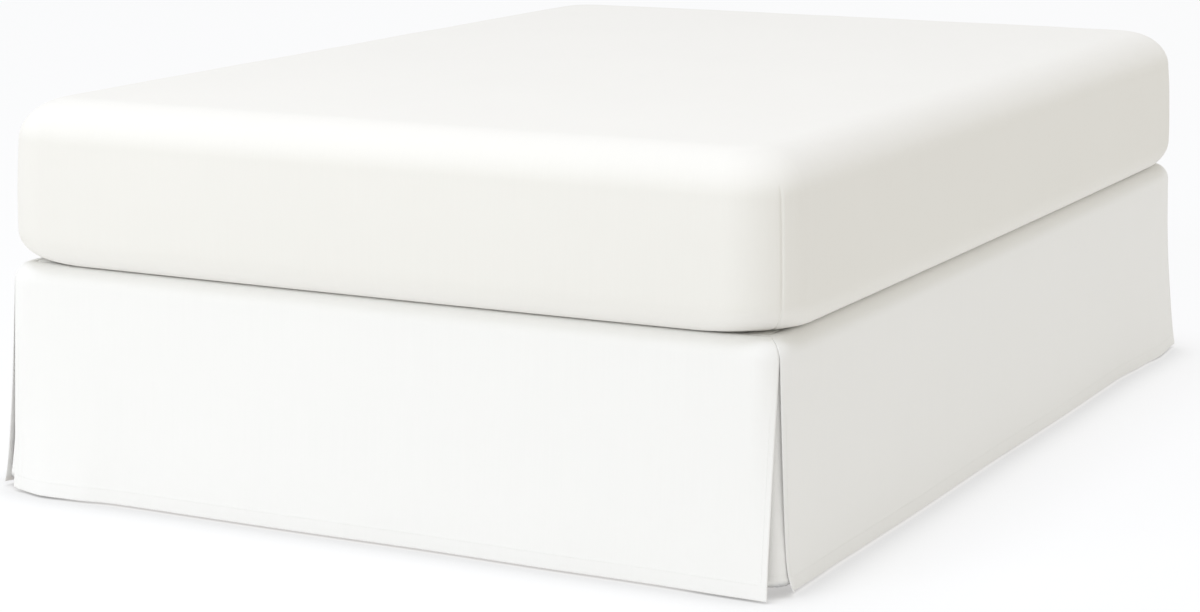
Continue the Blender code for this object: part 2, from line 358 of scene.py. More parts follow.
def thread_group(pattern: ThreadPattern) -> bpy.types.NodeTree:
    """The relief of a cloth's threads, over its flat lay in metres.

    Args:
        pattern: Plain weave, or knit loops.

    Returns:
        The group, which is built once for each pattern.
    """
    found = bpy.data.node_groups.get(pattern.value)
    if found:
        return found
    tree = new_group(pattern.value, {"Lay": (0.0, 0.0, 0.0), "Pitch": 0.001}, ["Height"])
    bench = NodeBench(tree)
    source = bench.add("NodeGroupInput").outputs
    threads = bench.math("DIVIDE", 1.0, source["Pitch"])
    scaled = bench.add("ShaderNodeVectorMath", {0: source["Lay"], "Scale": threads}, operation="SCALE")
    x, y, _ = bench.add("ShaderNodeSeparateXYZ", {0: scaled.outputs[0]}).outputs
    warp = bench.math("ABSOLUTE", bench.math("SINE", bench.math("MULTIPLY", x, math.pi)))
    if pattern is ThreadPattern.PLAIN_WEAVE:
        weft = bench.math("ABSOLUTE", bench.math("SINE", bench.math("MULTIPLY", y, math.pi)))
        warp_over = bench.math("MULTIPLY", warp, bench.math("MULTIPLY_ADD", weft, WEAVE_DIP, 1.0 - WEAVE_DIP))
        weft_over = bench.math("MULTIPLY", weft, bench.math("MULTIPLY_ADD", warp, WEAVE_DIP, 1.0 - WEAVE_DIP))
        cell = bench.math("ADD", bench.math("FLOOR", x), bench.math("FLOOR", y))
        checker = bench.math("FLOORED_MODULO", cell, 2.0)
        height = bench.add("ShaderNodeMix", {0: checker, 2: warp_over, 3: weft_over}, data_type="FLOAT").outputs[0]
    else:
        slant = bench.math("MULTIPLY_ADD", warp, KNIT_SLANT, y)
        loops = bench.math("SINE", bench.math("MULTIPLY", slant, 2.0 * math.pi))
        height = bench.math("MULTIPLY", warp, bench.math("MULTIPLY_ADD", loops, KNIT_DIP, 1.0 - KNIT_DIP))
    bench.add("NodeGroupOutput", {0: height})
    return tree


def tone_group() -> bpy.types.NodeTree:
    """Faint unevenness of a plain surface: soft clouds and fine streaks along one direction.

    Returns:
        The group, built once.
    """
    found = bpy.data.node_groups.get("soft tone")
    if found:
        return found
    tree = new_group("soft tone", {"Place": (0.0, 0.0, 0.0), "Cloud size": 0.3, "Cloud strength": 0.02,
                                   "Streaks": (400.0, 6.0, 6.0), "Streak strength": 0.02}, ["Tone", "Cloud", "Streak"])
    bench = NodeBench(tree)
    source = bench.add("NodeGroupInput").outputs
    lumps = bench.math("DIVIDE", 1.0, source["Cloud size"])
    clouds = bench.add("ShaderNodeTexNoise", {"Vector": source["Place"], "Scale": lumps, "Detail": 3.0})
    along = bench.add("ShaderNodeVectorMath", {0: source["Place"], 1: source["Streaks"]}, operation="MULTIPLY")
    streaks = bench.add("ShaderNodeTexNoise", {"Vector": along.outputs[0], "Scale": 1.0, "Detail": 2.0})
    cloud = bench.math("SUBTRACT", clouds.outputs[0], 0.5)
    streak = bench.math("SUBTRACT", streaks.outputs[0], 0.5)
    tone = bench.math("MULTIPLY_ADD", cloud, source["Cloud strength"], 1.0)
    tone = bench.math("MULTIPLY_ADD", streak, source["Streak strength"], tone)
    bench.add("NodeGroupOutput", {0: tone, 1: cloud, 2: streak})
    return tree


def start_material(name: str, base: Colour,
                   levels: dict[str, float]) -> tuple[bpy.types.Material, NodeBench, bpy.types.Node]:
    """Start a node material on one Principled shader.

    Args:
        name: The material's name.
        base: Its colour, linear.
        levels: Values for the shader's own sockets.

    Returns:
        The material, its bench and its shader.
    """
    material = bpy.data.materials.new(name)
    material.use_nodes = True
    material.diffuse_color = base
    shader = material.node_tree.nodes["Principled BSDF"]
    shader.inputs["Base Color"].default_value = base
    for label, value in levels.items():
        shader.inputs[label].default_value = value
    return material, NodeBench(material.node_tree), shader


@dataclass(frozen=True)
class ClothFinish:
    """A woven or knitted cloth: thread relief, faint clouds and slubs, and a little sheen."""

    name: str
    base: Colour
    pattern: ThreadPattern
    pitch: float
    relief: float
    cloud_size: float
    sheen: float
    cloud_strength: float = 0.02
    slub_strength: float = 0.02
    sheen_roughness: float = 0.5
    bump_strength: float = 0.6
    roughness: float = 0.9
    rough_spread: float = 0.1
    gloss: float = 0.2

    def build(self) -> bpy.types.Material:
        """Make the material on the cloth's own flat lay.

        Returns:
            The finished material.
        """
        material, bench, shader = start_material(self.name, self.base, {
            "Roughness": self.roughness, "Sheen Weight": self.sheen, "Sheen Roughness": self.sheen_roughness,
            "Specular IOR Level": self.gloss})
        lay = bench.add("ShaderNodeUVMap", uv_map=CLOTH_LAY).outputs[0]
        threads = bench.add("ShaderNodeGroup", {"Lay": lay, "Pitch": self.pitch}, node_tree=thread_group(self.pattern))
        tone = bench.add("ShaderNodeGroup", {
            "Place": lay, "Cloud size": self.cloud_size, "Cloud strength": self.cloud_strength,
            "Streak strength": self.slub_strength}, node_tree=tone_group()).outputs
        bench.tint(shader, self.base, tone["Tone"])
        bench.relief(shader, threads.outputs["Height"], self.relief, self.bump_strength)
        rough = bench.math("MULTIPLY_ADD", tone["Cloud"], self.rough_spread, self.roughness)
        bench.feed(shader.inputs["Roughness"], rough)
        return material


@dataclass(frozen=True)
class HiddenFinish:
    """A plain surface under the skirt, with soft clouds and a fine grain."""

    name: str
    base: Colour
    roughness: float
    rough_spread: float
    cloud_size: float
    cloud_strength: float
    grain: Row
    grain_strength: float
    sheen: float = 0.0
    relief: float = 0.0002

    def build(self) -> bpy.types.Material:
        """Make the material on Object coordinates.

        Returns:
            The finished material.
        """
        material, bench, shader = start_material(
            self.name, self.base, {"Roughness": self.roughness, "Sheen Weight": self.sheen})
        tone = bench.add("ShaderNodeGroup", {
            "Place": bench.add("ShaderNodeTexCoord").outputs["Object"], "Cloud size": self.cloud_size,
            "Cloud strength": self.cloud_strength, "Streaks": self.grain, "Streak strength": self.grain_strength,
        }, node_tree=tone_group()).outputs
        bench.tint(shader, self.base, tone["Tone"])
        bench.relief(shader, tone["Streak"], self.relief, 1.0)
        if self.rough_spread:
            rough = bench.math("MULTIPLY_ADD", tone["Streak"], self.rough_spread, self.roughness)
            bench.feed(shader.inputs["Roughness"], rough)
        return material


@dataclass(frozen=True)
class ThreadFinish:
    """Sewing thread: the cloth's white, twisted and slightly glossy."""

    name: str = "sewing_thread"
    base: Colour = (0.84, 0.84, 0.82, 1.0)
    roughness: float = 0.6
    sheen: float = 0.1
    twist_pitch: float = 0.0006
    mean_tone: float = 0.98
    twist_tone: float = 0.04
    relief: float = 0.00005

    def build(self) -> bpy.types.Material:
        """Make the material on Object coordinates.

        Returns:
            The finished material.
        """
        material, bench, shader = start_material(
            self.name, self.base, {"Roughness": self.roughness, "Sheen Weight": self.sheen})
        place = bench.add("ShaderNodeTexCoord").outputs["Object"]
        x, y, z = bench.add("ShaderNodeSeparateXYZ", {0: place}).outputs
        slant = bench.math("ADD", bench.math("ADD", x, y), z)
        twist = bench.math("SINE", bench.math("MULTIPLY", slant, 2.0 * math.pi / self.twist_pitch))
        bench.tint(shader, self.base, bench.math("MULTIPLY_ADD", twist, self.twist_tone, self.mean_tone))
        bench.relief(shader, twist, self.relief, 1.0)
        return material


@dataclass(frozen=True)
class FloorFinish:
    """A seamless white studio floor that glows faintly of its own, as if lit from below, with painted shade where
    things stand.
    """

    name: str = "studio_floor"
    base: Colour = (0.28, 0.28, 0.28, 1.0)
    glow: float = 0.67
    cloud_size: float = 3.0
    cloud_strength: float = 0.004
    shade_reach: float = 0.10
    shade_depth: float = 0.95
    shade_falloff: float = 1.9
    shade_samples: int = 16

    def build(self) -> bpy.types.Material:
        """Make the material on Object coordinates.

        Returns:
            The finished material.
        """
        material, bench, shader = start_material(self.name, self.base, {
            "Roughness": 1.0, "Specular IOR Level": 0.0, "Emission Strength": self.glow})
        tone = bench.add("ShaderNodeGroup", {
            "Place": bench.add("ShaderNodeTexCoord").outputs["Object"], "Cloud size": self.cloud_size,
            "Cloud strength": self.cloud_strength, "Streak strength": 0.0}, node_tree=tone_group())
        # Painted shade: colour and glow darken where nearby things hide the floor, a contact shadow from ambient
        # occlusion
        open_sky = bench.add("ShaderNodeAmbientOcclusion", {"Distance": self.shade_reach}, samples=self.shade_samples)
        hidden = bench.math("SUBTRACT", 1.0, open_sky.outputs["AO"])
        depth = bench.math("MULTIPLY", bench.math("POWER", hidden, self.shade_falloff), self.shade_depth)
        shade = bench.math("SUBTRACT", 1.0, depth)
        bench.tint(shader, self.base, bench.math("MULTIPLY", tone.outputs["Tone"], shade))
        bench.feed(shader.inputs["Emission Color"], shade)
        return material


COVER_CLOTH = ClothFinish("cover_cloth_white", (0.880, 0.874, 0.863, 1.0), ThreadPattern.PLAIN_WEAVE,
                          pitch=0.0011, relief=0.00012, cloud_size=0.35, sheen=0.08)
MATTRESS_CLOTH = ClothFinish("mattress_cloth_knit", (0.82, 0.805, 0.77, 1.0), ThreadPattern.JERSEY_KNIT,
                             pitch=0.0016, relief=0.00018, cloud_size=0.30, sheen=0.10)
# The box spring's non-woven covering, and the lacquered beech of the base, its grain along the bed
TICKING = HiddenFinish("ticking_plain", (0.62, 0.61, 0.58, 1.0), roughness=0.92, rough_spread=0.0, cloud_size=0.05,
                       cloud_strength=0.05, grain=(700.0, 700.0, 700.0), grain_strength=0.08, sheen=0.1)
BEECH = HiddenFinish("lacquered_beech", (0.56, 0.39, 0.23, 1.0), roughness=0.45, rough_spread=0.25, cloud_size=0.12,
                     cloud_strength=0.25, grain=(160.0, 5.0, 160.0), grain_strength=0.55)


@dataclass(frozen=True)
class StitchTree:
    """Geometry Nodes that lay short stitches along seam lines."""

    pitch: float = 0.0042
    stitch_length: float = 0.0030
    thread_radius: float = 0.00026
    least_size: float = 0.92
    greatest_size: float = 1.06
    seed: int = 7

    def sizes(self) -> dict[str, float]:
        """The tree's named sizes."""
        return {"Pitch": self.pitch, "Stitch length": self.stitch_length, "Thread radius": self.thread_radius}

    def tree(self) -> bpy.types.NodeTree:
        """Build the tree, with its sizes as named inputs.

        Returns:
            The node tree.
        """
        tree = bpy.data.node_groups.new("stitch row", "GeometryNodeTree")
        new_socket = tree.interface.new_socket
        new_socket("Seam lines", in_out="INPUT", socket_type="NodeSocketGeometry")
        for label, value in self.sizes().items():
            new_socket(label, in_out="INPUT", socket_type="NodeSocketFloat").default_value = value
        new_socket("Thread finish", in_out="INPUT", socket_type="NodeSocketMaterial")
        new_socket("Stitches", in_out="OUTPUT", socket_type="NodeSocketGeometry")
        bench = NodeBench(tree)
        source = bench.add("NodeGroupInput").outputs
        lines = bench.add("GeometryNodeMeshToCurve", {0: source["Seam lines"]}).outputs[0]
        feeds = {"Curve": lines, "Length": source["Pitch"]}
        points = bench.add("GeometryNodeCurveToPoints", feeds, mode="LENGTH").outputs
        ball = bench.add("GeometryNodeMeshUVSphere", {"Segments": 6, "Rings": 5, "Radius": 1.0}).outputs["Mesh"]
        radius, half = source["Thread radius"], bench.math("MULTIPLY", source["Stitch length"], 0.5)
        shape = bench.add("ShaderNodeCombineXYZ", {0: radius, 1: radius, 2: half}).outputs[0]
        stitch = bench.add("GeometryNodeTransform", {"Geometry": ball, "Scale": shape}).outputs["Geometry"]
        size = bench.add("FunctionNodeRandomValue", {2: self.least_size, 3: self.greatest_size, "Seed": self.seed},
                         data_type="FLOAT").outputs[1]
        placed = bench.add("GeometryNodeInstanceOnPoints", {
            "Points": points["Points"], "Instance": stitch, "Rotation": points["Rotation"], "Scale": size})
        real = bench.add("GeometryNodeRealizeInstances", {0: placed.outputs[0]}).outputs[0]
        dressed = bench.add("GeometryNodeSetMaterial", {"Geometry": real, "Material": source["Thread finish"]})
        bench.add("NodeGroupOutput", {0: dressed.outputs[0]})
        return tree

    def sew(self, name: str, lines: list[list[Vector]], finish: bpy.types.Material) -> bpy.types.Object:
        """Lay stitches along the lines and turn them into one plain mesh.

        Args:
            name: The piece's name.
            lines: Seam lines, as points on the cloth's surface.
            finish: The thread's material.

        Returns:
            The stitches as one piece.
        """
        guide = bpy.data.meshes.new(f"{name}_guide")
        edges, start = [], 0
        for line in lines:
            edges += [(start + step, start + step + 1) for step in range(len(line) - 1)]
            start += len(line)
        guide.from_pydata([tuple(spot) for line in lines for spot in line], edges, [])
        carrier = bpy.data.objects.new(f"{name}_guide", guide)
        bpy.context.scene.collection.objects.link(carrier)
        modifier = carrier.modifiers.new("stitches", "NODES")
        modifier.node_group = self.tree()
        values = {**self.sizes(), "Thread finish": finish}
        for item in modifier.node_group.interface.items_tree:
            if item.in_out == "INPUT" and item.name in values:
                modifier[item.identifier] = values[item.name]
        graph = bpy.context.evaluated_depsgraph_get()
        mesh = bpy.data.meshes.new_from_object(carrier.evaluated_get(graph))
        mesh.name = name
        bpy.data.objects.remove(carrier, do_unlink=True)
        return place_object(name, mesh, finish)


@dataclass
class CoverSizes:
    """Sizes that the cover's cloth pieces share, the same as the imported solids'."""

    box_width: float = 1.388
    box_length: float = 1.980
    box_top: float = 0.381
    box_corner: float = 0.040
    cloth: float = 0.0015
    seam_gap: float = 0.0003
    drop_standoff: float = 0.0045
    seam_inset: float = 0.038
    split_top: float = 0.368
    split_ease: float = 1.9
    even_lean: float = 0.3

    @property
    def standoff(self) -> float:
        """From the box spring's side to the middle of the drop's cloth."""
        return self.drop_standoff + self.cloth / 2

    @property
    def half_width(self) -> float:
        """From the middle of the bed out to the long sides' cloth."""
        return self.box_width / 2 + self.standoff

    @property
    def half_length(self) -> float:
        """From the middle of the bed out to the ends' cloth."""
        return self.box_length / 2 + self.standoff

    @property
    def corner(self) -> float:
        """Plan radius of the cloth at a corner."""
        return self.box_corner + self.standoff

    @property
    def deck_bottom(self) -> float:
        """Height of the deck cloth's underside."""
        return self.box_top + self.seam_gap

    @property
    def cloth_top(self) -> float:
        """Height of the middle of the cloth where it lies on the box spring."""
        return self.deck_bottom + self.cloth / 2

    def lean_share(self, hang: float) -> float:
        """Share of the hem's lean that the cloth has reached part of the way down."""
        return self.even_lean * hang + (1.0 - self.even_lean) * hang ** 3


@dataclass(frozen=True)
class PanelEnd:
    """How one end of a drop panel turns its corner.

    turn is how far round the corner it reaches, in degrees, and draw how far its free edge is
    drawn in. curl is how far its lower corner stands out, and lift how far that is raised.
    """

    turn: float
    draw: float
    curl: float
    lift: float


# The left and the right end of each drop panel, as seen from outside
PANEL_ENDS: dict[Side, tuple[PanelEnd, PanelEnd]] = {
    Side.FRONT: (PanelEnd(38.0, 0.0, 0.002, 0.003), PanelEnd(52.0, 0.006, 0.0, 0.0)),
    Side.RIGHT: (PanelEnd(38.0, 0.0, 0.0115, 0.006), PanelEnd(52.0, 0.006, 0.002, 0.003)),
    Side.BACK: (PanelEnd(38.0, 0.0, 0.003, 0.003), PanelEnd(52.0, 0.006, 0.002, 0.002)),
    Side.LEFT: (PanelEnd(38.0, 0.0, 0.004, 0.004), PanelEnd(52.0, 0.006, 0.003, 0.003)),
}


# How far each drop leans outwards at its hem. Columns: share of the panel's half length, from
# its left end (-1) to its right end (1) as seen from outside; lean
HEM_LEAN: dict[Side, list[Row]] = {
    Side.FRONT: [(-1.0, 0.014), (-0.96, 0.021), (-0.87, 0.034), (-0.79, 0.031), (-0.68, 0.022),
                 (0.0, 0.021), (0.60, 0.024), (0.93, 0.029), (1.0, 0.030)],
    Side.RIGHT: [(-1.0, 0.009), (-0.95, 0.010), (0.0, 0.010), (0.62, 0.009), (0.79, 0.016),
                 (0.87, 0.022), (1.0, 0.016)],
    Side.BACK: [(-1.0, 0.018), (-0.92, 0.022), (-0.72, 0.012), (0.0, 0.011), (0.66, 0.012),
                (0.88, 0.020), (1.0, 0.015)],
    Side.LEFT: [(-1.0, 0.016), (-0.90, 0.021), (-0.76, 0.012), (0.0, 0.010), (0.80, 0.011),
                (0.93, 0.014), (1.0, 0.017)],
}

# Soft troughs and ridges that hang down each drop. Columns: share of the panel's half length,
# half width in metres, depth at the hem (outwards positive), share of the drop where it starts
DROP_WAVES: dict[Side, list[Row]] = {
    Side.FRONT: [(-0.62, 0.09, -0.0012, 0.30), (-0.22, 0.14, 0.0012, 0.15), (0.18, 0.10, -0.0010, 0.35),
                 (0.47, 0.12, 0.0010, 0.25), (0.78, 0.07, -0.0012, 0.40)],
    Side.RIGHT: [(-0.78, 0.10, -0.0010, 0.30), (-0.45, 0.16, 0.0012, 0.20), (-0.08, 0.12, -0.0010, 0.35),
                 (0.30, 0.15, 0.0012, 0.25), (0.66, 0.10, -0.0012, 0.30)],
    Side.BACK: [(-0.55, 0.10, 0.0012, 0.30), (-0.10, 0.13, -0.0012, 0.20), (0.40, 0.11, 0.0012, 0.30)],
    Side.LEFT: [(-0.66, 0.12, 0.0012, 0.30), (-0.25, 0.14, -0.0012, 0.25), (0.22, 0.12, 0.0012, 0.30),
                (0.60, 0.14, -0.0010, 0.20)],
}


@dataclass
class DropPanels:
    """The four drop panels, from the deck seam over the rolled edge to the hem.

    A place runs from -2 to 2 along a panel: within -1 to 1 its straight part, beyond it the
    turned ends. The hang is the share of the hanging part, 1 at the hem.
    """

    sizes: CoverSizes
    roll: float = 0.030
    hem_height: float = 0.0035
    lift_start: float = 0.8
    curl_sharpness: float = 18.0
    least_closure: float = 0.02
    rim_sharpness: int = 4
    hem_fold: float = 0.025
    hem_edge: float = 0.004
    side_fold: float = 0.012
    side_edge: float = 0.001
    side_edge_turn: float = 0.02
    fold_thickness: float = 0.0004
    hem_stitch_in: float = 0.0025
    side_stitch_in: float = 0.002
    stitch_proud: float = 0.0001
    hem_stitch_end: float = 1.62
    side_stitches: range = range(14, 57)
    side_stitch_steps: int = 60
    column_pitch: float = 0.010
    end_steps: int = 12
    roll_steps: int = 12
    hang_steps: int = 44
    last_hang: float = 0.996
    flutter: float = 0.0005
    flutter_size: float = 0.11
    flutter_shift: float = 3.7
    calm_ends: float = 8.0

    @property
    def roll_start(self) -> float:
        """Height at which the drop starts to turn over the edge."""
        return self.sizes.cloth_top - self.roll

    @property
    def drop(self) -> float:
        """Height of the hanging part."""
        return self.roll_start - self.hem_height

    @property
    def fold_start(self) -> float:
        """The hang at which the hem's fold starts."""
        return 1.0 - self.hem_fold / self.drop

    def closure(self, height: float) -> float:
        """How far the corner is closed: 1 above the split, easing to 0 where it hangs open."""
        return max(min(max(height, 0.0) / self.sizes.split_top, 1.0) ** self.sizes.split_ease, self.least_closure)

    def extent(self, side: Side) -> tuple[float, float]:
        """Half the panel's length, and its distance out from the middle of the bed."""
        long, short = self.sizes.half_length, self.sizes.half_width
        return (short, long) if side.crosswise else (long, short)

    def end(self, side: Side, place: float) -> PanelEnd:
        """The panel end that a place is nearer to."""
        return PANEL_ENDS[side][1 if place >= 0 else 0]

    def turned(self, end: PanelEnd) -> float:
        """Length of a turned end, along the flat cloth."""
        return self.sizes.corner * math.radians(end.turn)

    def width(self, side: Side, place: float) -> float:
        """Distance of a place from the panel's middle, along the flat cloth."""
        straight = (self.extent(side)[0] - self.sizes.corner) * min(abs(place), 1.0)
        return math.copysign(straight + self.turned(self.end(side, place)) * max(abs(place) - 1.0, 0.0), place)

    def wave(self, side: Side, share: float, half: float, hang: float) -> float:
        """Depth of the soft waves at a place.

        Args:
            side: The side of the bed.
            share: Place along the panel, as a share of its half length.
            half: The panel's half length.
            hang: Share of the hanging part.

        Returns:
            How far the cloth stands out there.
        """
        total = 0.0
        for centre, width, depth, start in DROP_WAVES[side]:
            offset = (share - centre) * half / width
            total += depth * math.exp(-offset * offset) * ramp(start, 1.0, hang)
        return total

    def point(self, side: Side, place: float, inset: float, height: float, hang: float) -> Vector:
        """A point of a panel's mid-surface.

        Args:
            side: The side of the bed.
            place: Place along the panel.
            inset: How far the roll brings the cloth in.
            height: Height above the floor.
            hang: Share of the hanging part.

        Returns:
            The point.
        """
        sizes = self.sizes
        half, out = self.extent(side)
        flat = half - sizes.corner
        hand = 1.0 if place >= 0 else -1.0
        end = self.end(side, place)
        turn = max(abs(place) - 1.0, 0.0)
        share = hand * (flat * min(abs(place), 1.0) + sizes.corner * turn) / half
        lean = eased(HEM_LEAN[side], share) * sizes.lean_share(hang)
        if turn == 0.0:
            steady = min((1.0 - abs(place)) * self.calm_ends, 1.0)
            ground = Vector((flat * place, height, self.flutter_shift * out))
            lean += steady * self.wave(side, share, half, hang)
            lean += steady * hang * self.flutter * soft_noise(ground, self.flutter_size)
            travel, depth = flat * place, inset - lean
        else:
            lean += end.curl * turn ** 2 * hang ** self.curl_sharpness
            closure = self.closure(height)
            radius = (sizes.corner - inset) / closure
            angle = math.radians(end.turn) * closure * turn - sizes.seam_gap / 2 / radius * turn
            draw = end.draw * turn * math.sin(math.pi * hang)
            travel = hand * (flat + (radius + lean) * math.sin(angle) - draw)
            depth = inset + radius - (radius + lean) * math.cos(angle)
        lifted = max(abs(place) - self.lift_start, 0.0) / (2.0 - self.lift_start)
        spot = side.along * travel + side.outward * (out - depth)
        return Vector((spot.x, spot.y, height + end.lift * lifted * hang ** 2))

    def rows(self) -> list[Row]:
        """Rows down the cloth.

        Returns:
            Inset, height, hang and distance down the flat cloth.
        """
        rows = [(self.sizes.seam_inset, self.sizes.cloth_top, 0.0)]
        rows += [(inset, self.roll_start + rise, 0.0)
                 for inset, rise in reversed(quarter_roll(self.roll, self.roll, self.roll_steps))]
        marks = {self.fold_start, self.fold_start - self.hem_edge, self.fold_start + self.hem_edge, self.last_hang}
        marks |= {step / self.hang_steps for step in range(1, self.hang_steps + 1)}
        return with_travel(rows + [(0.0, self.roll_start - self.drop * hang, hang) for hang in sorted(marks)])

    def places(self, side: Side) -> list[float]:
        """Places along a panel: an even straight part, and its two turned ends.

        Args:
            side: The side of the bed.

        Returns:
            The places, from left to right as seen from outside.
        """
        steps = 2 * round((self.extent(side)[0] - self.sizes.corner) / self.column_pitch)
        middle = [2.0 * step / steps - 1.0 for step in range(steps + 1)]
        turns = []
        for end in PANEL_ENDS[side]:
            fold = 1.0 - self.side_fold / self.turned(end)
            even = {step / self.end_steps for step in range(1, self.end_steps + 1)}
            turns.append(sorted(even | {fold, fold + self.side_edge_turn}))
        return [-1.0 - share for share in reversed(turns[0])] + middle + [1.0 + share for share in turns[1]]

    def build(self, side: Side, cloth: bpy.types.Material) -> bpy.types.Object:
        """Make one drop panel.

        Args:
            side: The side of the bed.
            cloth: The cover's cloth.

        Returns:
            The piece, which stands for its solid.
        """
        rows, places = self.rows(), self.places(side)
        widths = [self.width(side, place) for place in places]
        edges = [abs(self.width(side, 2.0 * math.copysign(1.0, place))) - self.side_fold for place in places]
        points, lay, thickness, ends = [], [], [], []
        for inset, height, hang, travel in rows:
            points.append([self.point(side, place, inset, height, hang) for place in places])
            lay.append([(width - widths[0], travel) for width in widths])
            hem = ramp(self.fold_start - self.hem_edge, self.fold_start + self.hem_edge, hang)
            ends.append(1.0 - self.closure(height) ** self.rim_sharpness)
            folds = [max(hem, ends[-1] * ramp(edge - self.side_edge, edge + self.side_edge, abs(width)))
                     for width, edge in zip(widths, edges)]
            thickness.append([self.sizes.cloth + self.fold_thickness * fold for fold in folds])
        cut = widths[-1] - widths[0], rows[-1][3]
        grid = ClothGrid(points, lay, thickness, ends)
        return grid.sew(f"skirt_{side.label}", f"drop_{side.label}", cloth, cut, "hung")

    def stitch(self, side: Side, place: float, hang: float) -> Vector:
        """A point of a seam line, just proud of the outer face.

        Args:
            side: The side of the bed.
            place: Place along the panel.
            hang: Share of the hanging part.

        Returns:
            The point.
        """
        height = self.roll_start - self.drop * hang
        turn = math.copysign(max(abs(place) - 1.0, 0.0), place)
        angle = math.radians(self.end(side, place).turn) * self.closure(height) * turn
        facing = (side.outward * math.cos(angle) + side.along * math.sin(angle)).normalized()
        proud = self.sizes.cloth / 2 + self.fold_thickness / 2 + self.stitch_proud
        return self.point(side, place, 0.0, height, hang) + facing * proud

    def seam_lines(self, side: Side) -> list[list[Vector]]:
        """Stitch lines of one panel: its hem, and both split edges.

        Args:
            side: The side of the bed.

        Returns:
            Lines of points.
        """
        hem = 1.0 - (self.hem_fold - self.hem_stitch_in) / self.drop
        lines = [[self.stitch(side, place, hem) for place in self.places(side) if abs(place) < self.hem_stitch_end]]
        for hand, end in zip((-1.0, 1.0), PANEL_ENDS[side]):
            place = hand * (2.0 - (self.side_fold - self.side_stitch_in) / self.turned(end))
            lines.append([self.stitch(side, place, step / self.side_stitch_steps) for step in self.side_stitches])
        return lines


